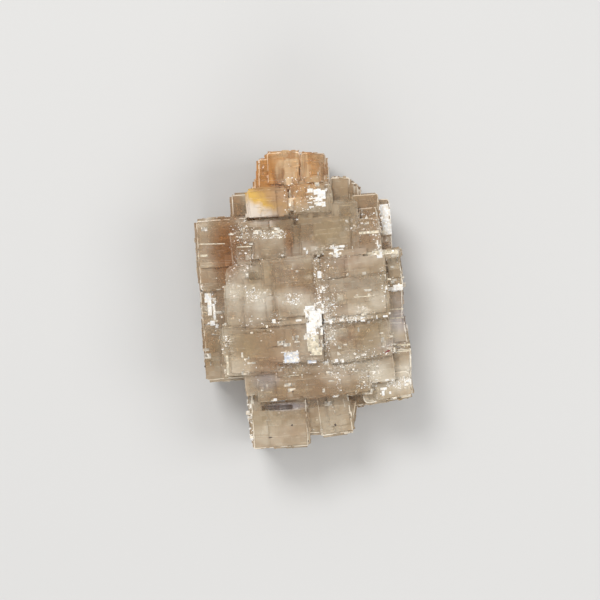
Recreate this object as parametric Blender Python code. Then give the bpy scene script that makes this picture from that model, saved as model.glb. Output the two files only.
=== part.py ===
"""A halite specimen: cubic crystals grown together into one stepped, blocky mass.

It lies on its back on a flat cleavage face. +X runs across the specimen, +Y along it towards the
stained crown, and +Z up, out of its best side. The origin is under the middle of its box.
Every crystal is a block with flat faces and worn edges, and all of them are one solid.
"""

import math
import random
from collections import namedtuple

import bmesh
import bpy
from mathutils import Matrix, Vector

MM = 0.001

# Driving dimensions, in millimetres.
WORN_EDGE = 0.26  # chamfer along the edges of every crystal
WORN_ANGLE = math.radians(50)  # edges sharper than this are worn
CORNER_FACETS = 3  # flat strips round a rounded corner
SIDE_RELIEF = 0.45  # height of the highest terrace on a side face, inside the crystal's size
FRONT_RELIEF = 0.6  # the same on a front face
TERRACE_ROOT = 0.5  # how far a terrace reaches into the crystal that carries it
TERRACE_INSET = (0.08, 0.2)  # ledge between a terrace and the nearest edge of its face
FIRST_COVER = (0.6, 0.9)  # share of each side of the face that its highest terrace covers
LATER_COVER = (0.25, 0.6)  # the same for the lower ones
LATER_HEIGHT = (0.25, 0.85)  # height of the lower terraces, as a share of the relief
SMALLEST_TERRACED = 3.4  # faces narrower than this stay plain
LEAST_BACK_GAP = 2.0  # crystals that hang this far over the resting surface have terraced backs
MOSAIC_LEAN = 0.7  # degrees by which a crystal may lean away from its neighbours
ORIGIN = (0.06, 0.12)  # where the middle of the specimen's box falls among the places below
SEED = 29

# One crystal. x, y: middle. wide, tall: sides across and along the specimen, over the terraces.
# back, front: heights of its two large faces over the surface the specimen lies on. turn: degrees
# about Z. lean: degrees about its own X and Y. corner: radius of its four upright edges. front_steps
# and side_steps: terraces on its front and on each of its sides.
Crystal = namedtuple(
    "Crystal",
    "name x y wide tall back front turn lean corner front_steps side_steps",
    defaults=(0, (0, 0), 0, 2, 2),
)

CORE = Crystal("core", 1.9, -1.2, 34.0, 37.2, 1.3, 23.9, 6, front_steps=0, side_steps=0)

BODY = (
    Crystal("left_upper", -17.6, 10.7, 14.1, 17.0, 2.2, 20.8, 4, corner=0.8, front_steps=3, side_steps=3),
    Crystal("left_lower", -16.4, -7.5, 14.1, 21.3, 4.0, 19.7, 5, corner=0.5, front_steps=3, side_steps=3),
    Crystal("left_plate", -14.2, 21.4, 5.4, 7.0, 5.0, 19.4, 3),
    Crystal("shoulder_inner", 8.2, 19.0, 5.4, 19.3, 3.2, 21.4, 0, corner=0.5),
    Crystal("shoulder_middle", 10.4, 20.5, 3.6, 14.2, 4.4, 20.2, 1, front_steps=1),
    Crystal("shoulder_outer", 11.4, 20.4, 3.4, 12.6, 3.6, 19.4, 2, front_steps=1),
    Crystal("shoulder_edge", 12.2, 19.8, 2.9, 11.6, 5.6, 18.6, 2, front_steps=1),
    Crystal("upper_right", 14.3, 17.5, 7.0, 14.6, 2.6, 21.4, 4),
    Crystal("upper_right_rim", 18.3, 17.3, 3.4, 12.3, 5.2, 18.4, 4, (0, 9), 0.7, 0, 0),
    Crystal("right_first", 20.1, 6.9, 5.0, 8.9, 1.8, 21.6, 8),
    Crystal("right_second", 20.3, -0.8, 5.4, 9.6, 4.2, 20.4, 1),
    Crystal("right_third", 21.0, -8.0, 5.9, 9.8, 2.8, 19.6, 8),
    Crystal("right_fourth", 21.7, -14.3, 6.4, 7.6, 1.4, 20.6, 2),
    Crystal("lower_right", 18.8, -19.6, 12.3, 6.7, 2.2, 21.9, 11, (0, 0), 1.2, 3, 3),
    Crystal("lower_right_chip", 12.6, -22.6, 5.4, 4.0, 5.4, 16.2, 8, front_steps=0),
    Crystal("foot_left", -5.6, -26.3, 13.4, 15.2, 2.8, 21.4, 3.5, (0, 0), 0.3, 3, 3),
    Crystal("foot_left_rim", -11.7, -24.9, 2.4, 12.6, 5.0, 17.6, 2),
    Crystal("foot_middle", 1.6, -24.6, 6.6, 12.3, 4.6, 19.6, 2),
    Crystal("foot_right", 6.9, -25.0, 8.2, 11.8, 3.4, 20.4, 8, front_steps=3, side_steps=3),
    Crystal("foot_right_rim", 10.5, -26.2, 3.0, 7.0, 6.0, 17.0, -9),
)

CROWN = (
    Crystal("crown_root", -2.6, 23.4, 16.2, 18.8, 3.4, 22.7, 1, front_steps=0),
    Crystal("crown_top_left", -4.6, 30.0, 8.5, 8.5, 6.2, 23.4, 2, corner=0.8),
    Crystal("crown_top_right", 2.0, 29.8, 6.6, 8.4, 4.2, 24.2, -1, corner=0.9),
    Crystal("crown_right_rim", 4.6, 26.2, 3.6, 9.8, 7.8, 21.4, 4, front_steps=1),
    Crystal("crown_stair_1", -8.0, 27.8, 3.5, 7.2, 8.6, 22.6, 2, front_steps=1),
    Crystal("crown_stair_2", -9.0, 26.4, 3.5, 7.2, 7.4, 21.8, 2, front_steps=1),
    Crystal("crown_stair_3", -9.9, 24.8, 3.5, 7.2, 8.0, 22.4, 3, front_steps=1),
    Crystal("crown_stair_4", -10.4, 23.2, 3.5, 6.8, 6.4, 21.2, 4, front_steps=0),
    Crystal("crown_gold", -8.2, 22.1, 9.8, 7.0, 6.0, 27.0, 5, corner=0.3, front_steps=1),
    Crystal("crown_gold_lip", -3.2, 21.2, 7.0, 4.6, 12.0, 24.6, 7, front_steps=1),
    Crystal("crown_right_front", 1.6, 23.2, 9.4, 7.8, 5.0, 25.6, 3, front_steps=3),
    Crystal("crown_pale_panel", -2.8, 28.9, 4.2, 7.2, 12.0, 25.0, 2, front_steps=1),
    Crystal("crown_right_panel", 2.0, 29.1, 4.4, 6.0, 12.0, 25.8, -1, front_steps=1),
)

FRONT = (
    Crystal("upper_window", 5.6, 16.2, 14.4, 13.0, 8.0, 24.9, 3, corner=0.4, front_steps=1),
    Crystal("upper_band", -8.2, 13.8, 13.0, 10.0, 8.0, 24.5, 5, front_steps=3),
    Crystal("left_shelf", -13.6, 10.4, 4.2, 5.2, 8.0, 25.2, 4, front_steps=0),
    Crystal("milky_block", -11.8, 0.9, 12.4, 15.6, 8.0, 25.3, 2, (0, 0), 1.9, 1, 1),
    Crystal("lower_left_slab", -12.3, -10.9, 12.6, 11.8, 6.0, 25.7, 5, corner=0.3, front_steps=2),
    Crystal("centre_slab", -2.0, -9.6, 13.4, 9.6, 6.0, 26.0, 4, front_steps=2),
    Crystal("middle_block", -3.1, 2.7, 13.0, 15.4, 8.0, 25.9, 5, front_steps=3),
    Crystal("right_slab", 11.1, 3.2, 15.6, 14.2, 8.0, 26.7, 5, corner=0.3, front_steps=2),
    Crystal("lower_right_slab", 12.3, -8.5, 15.0, 10.4, 8.0, 25.6, 8),
    Crystal("white_strip", 2.2, -6.9, 3.8, 12.0, 8.0, 26.5, 3, (0, -2), 0, 1, 1),
    Crystal("lower_band", 2.1, -18.2, 26.4, 8.2, 8.0, 24.6, 5, front_steps=3),
    Crystal("right_ledge", 16.9, 10.7, 10.6, 2.6, 10.0, 24.3, 4, front_steps=0),
    Crystal("upper_right_panel", 14.6, 18.2, 5.0, 7.0, 9.0, 22.6, 4, front_steps=1),
)

BACK = (
    Crystal("resting_block", -0.4, 1.6, 27.0, 29.0, 0.0, 9.3, 5, front_steps=0, side_steps=0),
    Crystal("back_upper", -4.2, 14.0, 21.0, 15.0, 0.5, 10.1, 4, front_steps=0, side_steps=0),
    Crystal("back_left", -11.6, -3.0, 12.0, 18.0, 0.8, 8.7, 6, front_steps=0, side_steps=0),
    Crystal("back_right", 13.2, -10.4, 14.6, 17.0, 0.3, 11.2, 8, front_steps=0, side_steps=0),
    Crystal("back_foot", -1.4, -22.8, 14.4, 10.6, 1.0, 9.7, 4, front_steps=0, side_steps=0),
)

# The slot on the foot where a thin crystal dissolved away. x, y, wide, tall and turn as above; floor
# and top are the heights between which the slot is open.
Slot = namedtuple("Slot", "name x y wide tall floor top turn")

FOOT_SLOT = Slot("foot_slot", -6.2, -24.3, 7.2, 1.1, 19.6, 25.0, 3)


def clear_scene():
    for obj in list(bpy.data.objects):
        bpy.data.objects.remove(obj)


def new_collection(name):
    collection = bpy.data.collections.new(name)
    bpy.context.scene.collection.children.link(collection)
    return collection


def halite_material():
    material = bpy.data.materials.new("smoky_halite")
    material.use_nodes = True
    shader = material.node_tree.nodes["Principled BSDF"]
    shader.inputs["Base Color"].default_value = (0.62, 0.47, 0.33, 1.0)
    shader.inputs["Roughness"].default_value = 0.15
    shader.inputs["Metallic"].default_value = 0.0
    shader.inputs["IOR"].default_value = 1.544
    shader.inputs["Transmission Weight"].default_value = 0.9
    return material


def placement(x, y, turn, lean=(0, 0), pivot=0.0):
    """The matrix, in millimetres, from a crystal's own axes to the specimen's. It leans about a point
    at the height of the pivot."""
    tilt = Matrix.Rotation(math.radians(lean[0]), 4, "X") @ Matrix.Rotation(math.radians(lean[1]), 4, "Y")
    leaning = Matrix.Translation((0, 0, pivot)) @ tilt @ Matrix.Translation((0, 0, -pivot))
    turned = Matrix.Translation((x, y, 0)) @ Matrix.Rotation(math.radians(turn), 4, "Z")
    return Matrix.Translation((-ORIGIN[0], -ORIGIN[1], 0)) @ turned @ leaning


def box_mesh(name, low, high, matrix, corner=0.0, worn=0.0):
    """A box between two corners, given in millimetres on its own axes, with its edges worn."""
    bm = bmesh.new()
    bmesh.ops.create_cube(bm, size=1.0)
    size = Vector(high) - Vector(low)
    middle = (Vector(high) + Vector(low)) / 2
    bmesh.ops.scale(bm, vec=size, verts=bm.verts)
    if corner > worn:
        upright = [e for e in bm.edges if abs((e.verts[0].co - e.verts[1].co).z) > size.z / 2]
        bmesh.ops.bevel(
            bm, geom=upright, offset=corner, segments=CORNER_FACETS, profile=0.5, affect="EDGES"
        )
    if worn:
        sharp = [e for e in bm.edges if e.calc_face_angle() > WORN_ANGLE]
        bmesh.ops.bevel(bm, geom=sharp, offset=worn, segments=1, affect="EDGES")
    bmesh.ops.translate(bm, vec=middle, verts=bm.verts)
    bmesh.ops.transform(bm, matrix=Matrix.Scale(MM, 4) @ matrix, verts=bm.verts)
    mesh = bpy.data.meshes.new(name)
    bm.to_mesh(mesh)
    bm.free()
    return mesh


def helper(mesh, collection):
    """An object that only joins or cuts: it is never shown."""
    obj = bpy.data.objects.new(mesh.name, mesh)
    obj.hide_render = True
    obj.display_type = "WIRE"
    collection.objects.link(obj)


def terraces(low, high, axis, side, relief, count, rng):
    """Low blocks on one face, each pushed towards one of its corners. The first is the highest."""
    face = high[axis] if side > 0 else low[axis]
    for number in range(count):
        cover = LATER_COVER if number else FIRST_COVER
        height = relief * (rng.uniform(*LATER_HEIGHT) if number else 1)
        box_low, box_high = list(low), list(high)
        box_low[axis], box_high[axis] = sorted((face - side * TERRACE_ROOT, face + side * height))
        for i in range(3):
            if i == axis:
                continue
            length = (high[i] - low[i]) * rng.uniform(*cover)
            inset = WORN_EDGE + rng.uniform(*TERRACE_INSET)
            if rng.random() < 0.5:
                box_low[i] += inset
                box_high[i] = box_low[i] + length
            else:
                box_high[i] -= inset
                box_low[i] = box_high[i] - length
        yield box_low, box_high


def terraced_faces(crystal):
    """The faces of a crystal that carry terraces: axis, side, relief and how many."""
    found = []
    for axis in (0, 1):
        found += [(axis, side, SIDE_RELIEF, crystal.side_steps) for side in (-1, 1)]
    found.append((2, 1, FRONT_RELIEF, crystal.front_steps))
    if crystal.back > LEAST_BACK_GAP:
        found.append((2, -1, SIDE_RELIEF, crystal.side_steps))
    spans = (crystal.wide, crystal.tall, crystal.front - crystal.back)
    kept = []
    for face in found:
        narrowest = min(span for axis, span in enumerate(spans) if axis != face[0])
        if face[3] and narrowest > SMALLEST_TERRACED:
            kept.append(face)
    return kept


def crystal_meshes(crystal, rng):
    """The block of one crystal and the terraces on its faces, which together fill its size."""
    low = [-crystal.wide / 2, -crystal.tall / 2, crystal.back]
    high = [crystal.wide / 2, crystal.tall / 2, crystal.front]
    faces = terraced_faces(crystal)
    for axis, side, relief, _ in faces:
        if side > 0:
            high[axis] -= relief
        else:
            low[axis] += relief
    lean = crystal.lean
    if crystal.front_steps:
        lean = [angle + rng.uniform(-MOSAIC_LEAN, MOSAIC_LEAN) for angle in lean]
    matrix = placement(crystal.x, crystal.y, crystal.turn, lean, crystal.front)
    yield box_mesh(crystal.name, low, high, matrix, crystal.corner, WORN_EDGE)
    for axis, side, relief, count in faces:
        steps = terraces(low, high, axis, side, relief, count, rng)
        for number, (step_low, step_high) in enumerate(steps):
            yield box_mesh(f"{crystal.name}_{axis}_{side}_{number}", step_low, step_high, matrix)


def slot_mesh(slot):
    low = (-slot.wide / 2, -slot.tall / 2, slot.floor)
    high = (slot.wide / 2, slot.tall / 2, slot.top)
    return box_mesh(slot.name, low, high, placement(slot.x, slot.y, slot.turn))


def add_boolean(obj, name, operation, collection):
    modifier = obj.modifiers.new(name, "BOOLEAN")
    modifier.operation = operation
    modifier.operand_type = "COLLECTION"
    modifier.collection = collection
    modifier.solver = "EXACT"


def build():
    clear_scene()
    rng = random.Random(SEED)
    parts = new_collection("halite_specimen")
    grown = new_collection("crystals_that_join")
    dissolved = new_collection("slot_that_cuts")
    specimen = bpy.data.objects.new("halite_crystal", next(crystal_meshes(CORE, rng)))
    parts.objects.link(specimen)
    specimen.data.materials.append(halite_material())
    for crystal in BODY + CROWN + FRONT + BACK:
        for mesh in crystal_meshes(crystal, rng):
            helper(mesh, grown)
    helper(slot_mesh(FOOT_SLOT), dissolved)
    add_boolean(specimen, "grow_together", "UNION", grown)
    add_boolean(specimen, "dissolve", "DIFFERENCE", dissolved)


build()
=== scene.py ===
"""Looks of a halite specimen: smoky, see-through cubes grown together, stained orange at one end.

It lies on its back on a pale surface and is seen from straight above. The scene is in metres, and the
tables of places and sizes are in millimetres.
"""

import math
from collections import namedtuple
from functools import reduce

import bmesh
import bpy
from mathutils import Euler, Matrix, Vector
from mathutils.bvhtree import BVHTree


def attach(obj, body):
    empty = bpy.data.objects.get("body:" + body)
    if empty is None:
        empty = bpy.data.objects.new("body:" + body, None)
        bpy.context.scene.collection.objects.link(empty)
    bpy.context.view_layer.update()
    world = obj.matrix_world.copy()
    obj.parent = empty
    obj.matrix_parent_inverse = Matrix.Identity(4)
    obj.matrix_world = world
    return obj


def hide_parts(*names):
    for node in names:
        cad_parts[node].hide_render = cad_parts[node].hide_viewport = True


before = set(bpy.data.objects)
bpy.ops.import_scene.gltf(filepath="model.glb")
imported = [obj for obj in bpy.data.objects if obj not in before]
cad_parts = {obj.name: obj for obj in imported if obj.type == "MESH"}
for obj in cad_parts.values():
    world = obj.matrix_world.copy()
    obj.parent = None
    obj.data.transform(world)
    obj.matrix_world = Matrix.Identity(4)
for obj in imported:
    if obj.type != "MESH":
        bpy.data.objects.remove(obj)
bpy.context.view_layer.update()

# ---------------------------------------------------------------------------
# The crystal mass. Cubes of halite that grew together from brine: one piece of salt with flat
# cleavage faces. Low terraces of growth cover the faces, and small cubes and chips line the edges.

MM = 0.001
FLAT_ANGLE = math.radians(0.5)  # faces that meet under less than this are one flat face
SHARP_ANGLE = math.radians(20)  # edges over this are true crystal edges
BLOCK_CHAMFER = 0.045  # worn edge of a growth block, as a share of its side
TERRACE_DENSITY = 15e4  # candidates a square metre
TERRACE_LEAST = (0.9, 0.6, 0.05)  # along the grain, across it and through the face, in mm
TERRACE_MOST = (7.5, 4.6, 0.34)
TERRACE_LIP = 0.16  # how far a terrace may hang over an edge, in mm
TERRACE_LEAN = 0.012  # radians
LEAST_ROOM = 1.5e-6  # square metres of flat face that a terrace needs
PROBE = 0.25 * MM  # how far over and under a face a terrace's corner looks for it
CORNERS = ((-1, -1), (-1, 1), (1, -1), (1, 1))
EDGE_SPACING = 2.8  # between the chips along an edge, in mm
EDGE_LEAST = (0.5, 0.16, 0.16)
EDGE_MOST = (3.0, 0.42, 0.4)
NOTCH_SPACING = 4.6  # between the gaps cut in the edges, in mm
NOTCH_LEAST = (0.3, 0.15, 0.15)
NOTCH_MOST = (1.4, 0.42, 0.42)
EDGE_LEAN = 0.02
EDGE_SHIFT = 0.9 * MM  # how far a chip may slide along its edge
OUTWARD_ANGLE = math.radians(35)  # edges that stand out by more than this carry chips
UPRIGHT = 0.7  # an edge with more than this part of it upward is an upright one
HELD_WITHIN = 0.12 * MM  # both ends of a chip are this near the salt
KEEP_OFF_REST = 1.4  # growth keeps this far above the surface the specimen lies on, in mm
CUBE_TURN = math.radians(4.6)  # the cubes' usual turn about Z


def merged_copy(node):
    """A bmesh of a node with its loose triangles joined."""
    bm = bmesh.new()
    bm.from_mesh(node.data)
    bmesh.ops.remove_doubles(bm, verts=bm.verts, dist=1e-7)
    return bm


def flat_regions(bm):
    """Lists of faces that lie in one plane and touch."""
    bm.faces.ensure_lookup_table()
    seen = set()
    for start in bm.faces:
        if start in seen:
            continue
        seen.add(start)
        region, front = [start], [start]
        while front:
            for edge in front.pop().edges:
                if edge.calc_face_angle(0.0) > FLAT_ANGLE:
                    continue
                for face in edge.link_faces:
                    if face not in seen:
                        seen.add(face)
                        region.append(face)
                        front.append(face)
        yield region


def mark_grain(bm):
    """Stores on each face the direction of its region's longest crystal edge, and the region's area."""
    grain = bm.faces.layers.float_vector.new("grain")
    room = bm.faces.layers.float.new("room")
    for region in flat_regions(bm):
        edges = {edge for face in region for edge in face.edges}
        sharp = [edge for edge in edges if edge.calc_face_angle(0.0) > SHARP_ANGLE]
        longest = max(sharp or edges, key=lambda edge: edge.calc_length())
        along = (longest.verts[1].co - longest.verts[0].co).normalized()
        area = sum(face.calc_area() for face in region)
        for face in region:
            face[grain] = along
            face[room] = area


def add_object(name, data):
    obj = bpy.data.objects.new(name, data)
    bpy.context.scene.collection.objects.link(obj)
    return obj


def shape_object(bm, name):
    mesh = bpy.data.meshes.new(name)
    bm.to_mesh(mesh)
    bm.free()
    return add_object(name, mesh)


def add_box(bm, size, place, rise=0.0):
    """Adds a box with these sides, lifted by the rise and then put in its place by a matrix."""
    cube = bmesh.ops.create_cube(bm, size=1.0)["verts"]
    bmesh.ops.scale(bm, vec=size, verts=cube)
    bmesh.ops.translate(bm, vec=(0, 0, rise), verts=cube)
    bmesh.ops.transform(bm, matrix=place, verts=cube)


def metres(values):
    return [value * MM for value in values]


def rows(kind, *values):
    return [kind(*row) for row in values]


def growth_block():
    """A unit cube with worn edges, from which every terrace and edge crystal is scaled."""
    bm = bmesh.new()
    bmesh.ops.create_cube(bm, size=1.0)
    bmesh.ops.bevel(bm, geom=list(bm.edges), offset=BLOCK_CHAMFER, segments=1, affect="EDGES")
    return shape_object(bm, "growth_block")


# Salt that filled the grooves between neighbouring slabs: middle, sides, top and turn, in mm and degrees.
Seam = namedtuple("Seam", "x y wide tall top turn")
SEAMS = rows(
    Seam,
    (3.1, 3.3, 1.5, 12.2, 26.35, 5), (-4.3, -5.05, 12.0, 1.1, 25.75, 5), (11.8, -3.8, 14.4, 1.3, 26.1, 6),
    (9.2, 10.8, 9.6, 1.4, 25.8, 5), (-8.4, 19.3, 9.8, 0.9, 25.0, 2),
)
SEAM_FOOT = 21.0


def seam_boxes():
    bm = bmesh.new()
    for seam in SEAMS:
        middle = Vector((seam.x, seam.y, (seam.top + SEAM_FOOT) / 2)) * MM
        turned = Matrix.Translation(middle) @ Matrix.Rotation(math.radians(seam.turn), 4, "Z")
        add_box(bm, Vector((seam.wide, seam.tall, seam.top - SEAM_FOOT)) * MM, turned)
    return shape_object(bm, "seams")


def set_inputs(tree, node, **inputs):
    """Gives a node's inputs values or sockets, named with _ for a space, or by number after a _."""
    for key, value in inputs.items():
        socket = node.inputs[int(key[1:])] if key[0] == "_" else node.inputs[key.replace("_", " ")]
        if isinstance(value, bpy.types.NodeSocket):
            tree.links.new(value, socket)
        else:
            socket.default_value = value


def put(tree, kind, settings=None, **inputs):
    """Adds a node, with its own settings and its inputs."""
    node = tree.nodes.new(kind)
    for key, value in (settings or {}).items():
        setattr(node, key, value)
    set_inputs(tree, node, **inputs)
    return node


def calc(tree, operation, *values):
    node = put(tree, "ShaderNodeMath", {"operation": operation}, **{f"_{i}": v for i, v in enumerate(values)})
    return node.outputs[0]


def times(tree, *values):
    return reduce(lambda one, other: calc(tree, "MULTIPLY", one, other), values)


def over(tree, value, limit):
    """One where the value is over the limit, else nothing."""
    return calc(tree, "GREATER_THAN", value, limit)


def vector_calc(tree, operation, *values):
    inputs = {f"_{i}": value for i, value in enumerate(values)}
    return put(tree, "ShaderNodeVectorMath", {"operation": operation}, **inputs).outputs[0]


def scaled(tree, vector, factor):
    return put(tree, "ShaderNodeVectorMath", {"operation": "SCALE"}, _0=vector, Scale=factor).outputs[0]


def vector_of(tree, x=0.0, y=0.0, z=0.0):
    return put(tree, "ShaderNodeCombineXYZ", X=x, Y=y, Z=z).outputs[0]


def axes_of(tree, vector):
    return put(tree, "ShaderNodeSeparateXYZ", Vector=vector).outputs


def position_of(tree):
    return put(tree, "GeometryNodeInputPosition").outputs[0]


def unit_cube(tree):
    return put(tree, "GeometryNodeMeshCube").outputs["Mesh"]


def random_vector(tree, low, high, seed):
    node = put(tree, "FunctionNodeRandomValue", {"data_type": "FLOAT_VECTOR"}, _0=low, _1=high, Seed=seed)
    return node.outputs[0]


def skewed_size(tree, least, most, seed):
    """A random size for each point between two limits, with small ones far more common."""
    chance = random_vector(tree, (0, 0, 0), (1, 1, 1), seed)
    chance = vector_calc(tree, "MULTIPLY", chance, chance)
    span = vector_calc(tree, "SUBTRACT", most, least)
    return vector_calc(tree, "MULTIPLY_ADD", span, chance, least)


def new_tree(name):
    tree = bpy.data.node_groups.new(name, "GeometryNodeTree")
    tree.nodes.new("NodeGroupInput")
    return tree


def input_of(tree, name, value=None, kind="Float"):
    """Adds a named input to a tree and returns it."""
    socket = tree.interface.new_socket(name, in_out="INPUT", socket_type="NodeSocket" + kind)
    if value is not None:
        socket.default_value = value
    return tree.nodes["Group Input"].outputs[name]


def size_input(tree, name, size=(0, 0, 0)):
    return input_of(tree, name, metres(size), "Vector")


def object_input(tree, name):
    """The shape of an object that the tree is given."""
    return put(tree, "GeometryNodeObjectInfo", Object=input_of(tree, name, kind="Object")).outputs["Geometry"]


def store_field(tree, geometry, kind, name, value):
    return put(
        tree, "GeometryNodeStoreNamedAttribute", {"data_type": kind}, Geometry=geometry, Name=name, Value=value
    ).outputs[0]


def stored_field(tree, kind, name):
    return put(tree, "GeometryNodeInputNamedAttribute", {"data_type": kind}, Name=name).outputs[0]


def with_size_and_turn(tree, points, size, turn):
    """The points with a size and a turn stored on each."""
    sized = store_field(tree, points, "FLOAT_VECTOR", "size", size)
    return store_field(tree, sized, "QUATERNION", "turn", turn)


def stored_size_and_turn(tree):
    return stored_field(tree, "FLOAT_VECTOR", "size"), stored_field(tree, "QUATERNION", "turn")


def rotated(tree, vector, rotation):
    return put(tree, "FunctionNodeRotateVector", Vector=vector, Rotation=rotation).outputs[0]


def rotation_of(tree, euler):
    return put(tree, "FunctionNodeEulerToRotation", Euler=euler).outputs[0]


def turned_by(tree, rotation, euler):
    local = {"rotation_space": "LOCAL"}
    by = rotation_of(tree, euler)
    return put(tree, "FunctionNodeRotateRotation", local, Rotation=rotation, Rotate_By=by).outputs[0]


def leaning(tree, rotation, lean, seed):
    return turned_by(tree, rotation, random_vector(tree, [-lean] * 3, [lean] * 3, seed))


def ray_to(tree, target, start, direction, reach):
    return put(
        tree, "GeometryNodeRaycast", Target_Geometry=target, Source_Position=start, Ray_Direction=direction,
        Ray_Length=reach,
    )


def distance_to(tree, target, place):
    return put(tree, "GeometryNodeProximity", Geometry=target, Sample_Position=place).outputs["Distance"]


def shapes_at(tree, points, shape, good):
    """The shape at each good point, at the size and turn stored there."""
    bad = put(tree, "FunctionNodeBooleanMath", {"operation": "NOT"}, _0=good).outputs[0]
    kept = put(tree, "GeometryNodeDeleteGeometry", {"domain": "POINT"}, Geometry=points, Selection=bad)
    size, turn = stored_size_and_turn(tree)
    return put(
        tree, "GeometryNodeInstanceOnPoints", Points=kept.outputs[0], Instance=shape, Rotation=turn,
        Scale=size,
    ).outputs[0]


def terraces_on_faces(tree, crystal, block, density, seed, least, most, lip, floor):
    """Blocks sunk halfway into the flat faces, where all four corners have the face under them."""
    position = position_of(tree)
    roomy = over(tree, stored_field(tree, "FLOAT", "room"), LEAST_ROOM)
    above = over(tree, axes_of(tree, position)[2], floor)
    points = put(
        tree, "GeometryNodeDistributePointsOnFaces", Mesh=crystal, Density=density, Seed=seed,
        Selection=times(tree, roomy, above),
    )
    rotation = put(
        tree, "FunctionNodeAxesToRotation", {"primary_axis": "Z", "secondary_axis": "X"},
        Primary_Axis=points.outputs["Normal"], Secondary_Axis=stored_field(tree, "FLOAT_VECTOR", "grain"),
    ).outputs[0]
    size = skewed_size(tree, least, most, seed=11)
    reach = vector_calc(tree, "SUBTRACT", scaled(tree, size, 0.5), vector_of(tree, lip, lip))
    down = rotated(tree, (0, 0, -1), rotation)
    hits = []
    for side_x, side_y in CORNERS:
        corner = vector_calc(tree, "MULTIPLY_ADD", reach, (side_x, side_y, 0), (0, 0, PROBE))
        start = vector_calc(tree, "ADD", position, rotated(tree, corner, rotation))
        hits.append(ray_to(tree, crystal, start, down, 2 * PROBE).outputs["Is Hit"])
    turn = leaning(tree, rotation, TERRACE_LEAN, seed=12)
    marked = with_size_and_turn(tree, points.outputs["Points"], size, turn)
    return shapes_at(tree, marked, block, times(tree, *hits))


def blocks_on_edges(tree, crystal, block, spacing, least, most, floor, seed):
    """Blocks strung along the outward edges, in line with them."""
    position = position_of(tree)
    outward = over(tree, put(tree, "GeometryNodeInputMeshEdgeAngle").outputs["Signed Angle"], OUTWARD_ANGLE)
    chosen = times(tree, outward, over(tree, axes_of(tree, position)[2], floor))
    curve = put(tree, "GeometryNodeMeshToCurve", Mesh=crystal, Selection=chosen).outputs[0]
    points = put(tree, "GeometryNodeCurveToPoints", {"mode": "LENGTH"}, Curve=curve, Length=spacing)
    tangent = points.outputs["Tangent"]
    upright = over(tree, calc(tree, "ABSOLUTE", axes_of(tree, tangent)[2]), UPRIGHT)
    across = (math.cos(CUBE_TURN), math.sin(CUBE_TURN), 0)
    guide = put(tree, "ShaderNodeMix", {"data_type": "VECTOR"}, _0=upright, _4=(0, 0, 1), _5=across).outputs[1]
    rotation = put(
        tree, "FunctionNodeAxesToRotation", {"primary_axis": "X", "secondary_axis": "Z"},
        Primary_Axis=tangent, Secondary_Axis=guide,
    ).outputs[0]
    shift = random_vector(tree, [-EDGE_SHIFT] * 3, [EDGE_SHIFT] * 3, seed)
    size = skewed_size(tree, least, most, seed + 2)
    turn = leaning(tree, rotation, EDGE_LEAN, seed + 1)
    marked = with_size_and_turn(tree, points.outputs["Points"], size, turn)
    placed = put(
        tree, "GeometryNodeSetPosition", Geometry=marked, Offset=vector_calc(tree, "PROJECT", shift, tangent)
    ).outputs[0]
    size, turn = stored_size_and_turn(tree)
    held = []
    for side in (-0.5, 0.5):
        end = rotated(tree, vector_calc(tree, "MULTIPLY", size, (side, 0, 0)), turn)
        near = distance_to(tree, crystal, vector_calc(tree, "ADD", position, end))
        held.append(calc(tree, "LESS_THAN", near, HELD_WITHIN))
    return shapes_at(tree, placed, block, times(tree, *held))


def union_of(tree, shapes):
    union = put(tree, "GeometryNodeMeshBoolean", {"operation": "UNION", "solver": "MANIFOLD"})
    for shape in shapes:
        tree.links.new(shape, union.inputs["Mesh 2"])
    return union.outputs[0]


def finish_tree(tree, shape, material):
    """Ends a tree: the shape made real, with its material."""
    real = put(tree, "GeometryNodeRealizeInstances", Geometry=shape).outputs[0]
    done = put(tree, "GeometryNodeSetMaterial", Geometry=real, Material=material).outputs[0]
    tree.interface.new_socket("Result", in_out="OUTPUT", socket_type="NodeSocketGeometry")
    tree.links.new(done, tree.nodes.new("NodeGroupOutput").inputs[0])
    return tree


def growth_tree():
    tree = new_tree("growth")
    crystal = input_of(tree, "Crystal", kind="Geometry")
    block = object_input(tree, "Block")
    seams = object_input(tree, "Seams")
    material = input_of(tree, "Material", kind="Material")
    floor = input_of(tree, "Lowest growth", KEEP_OFF_REST * MM)
    terraces = terraces_on_faces(
        tree, crystal, block, input_of(tree, "Terrace density", TERRACE_DENSITY),
        input_of(tree, "Seed", 5, "Int"), size_input(tree, "Terrace least", TERRACE_LEAST),
        size_input(tree, "Terrace most", TERRACE_MOST), input_of(tree, "Terrace lip", TERRACE_LIP * MM), floor,
    )
    chip = unit_cube(tree)
    chips = []
    for name, spacing, least, most, seed in (
        ("Edge", EDGE_SPACING, EDGE_LEAST, EDGE_MOST, 31),
        ("Notch", NOTCH_SPACING, NOTCH_LEAST, NOTCH_MOST, 47),
    ):
        chips.append(blocks_on_edges(
            tree, crystal, chip, input_of(tree, name + " spacing", spacing * MM),
            size_input(tree, name + " least", least), size_input(tree, name + " most", most), floor, seed,
        ))
    edges, notches = chips
    chipped = put(
        tree, "GeometryNodeMeshBoolean", {"operation": "DIFFERENCE", "solver": "MANIFOLD"},
        Mesh_1=union_of(tree, (crystal, terraces, edges, seams)), Mesh_2=notches,
    ).outputs[0]
    return finish_tree(tree, chipped, material)


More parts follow.
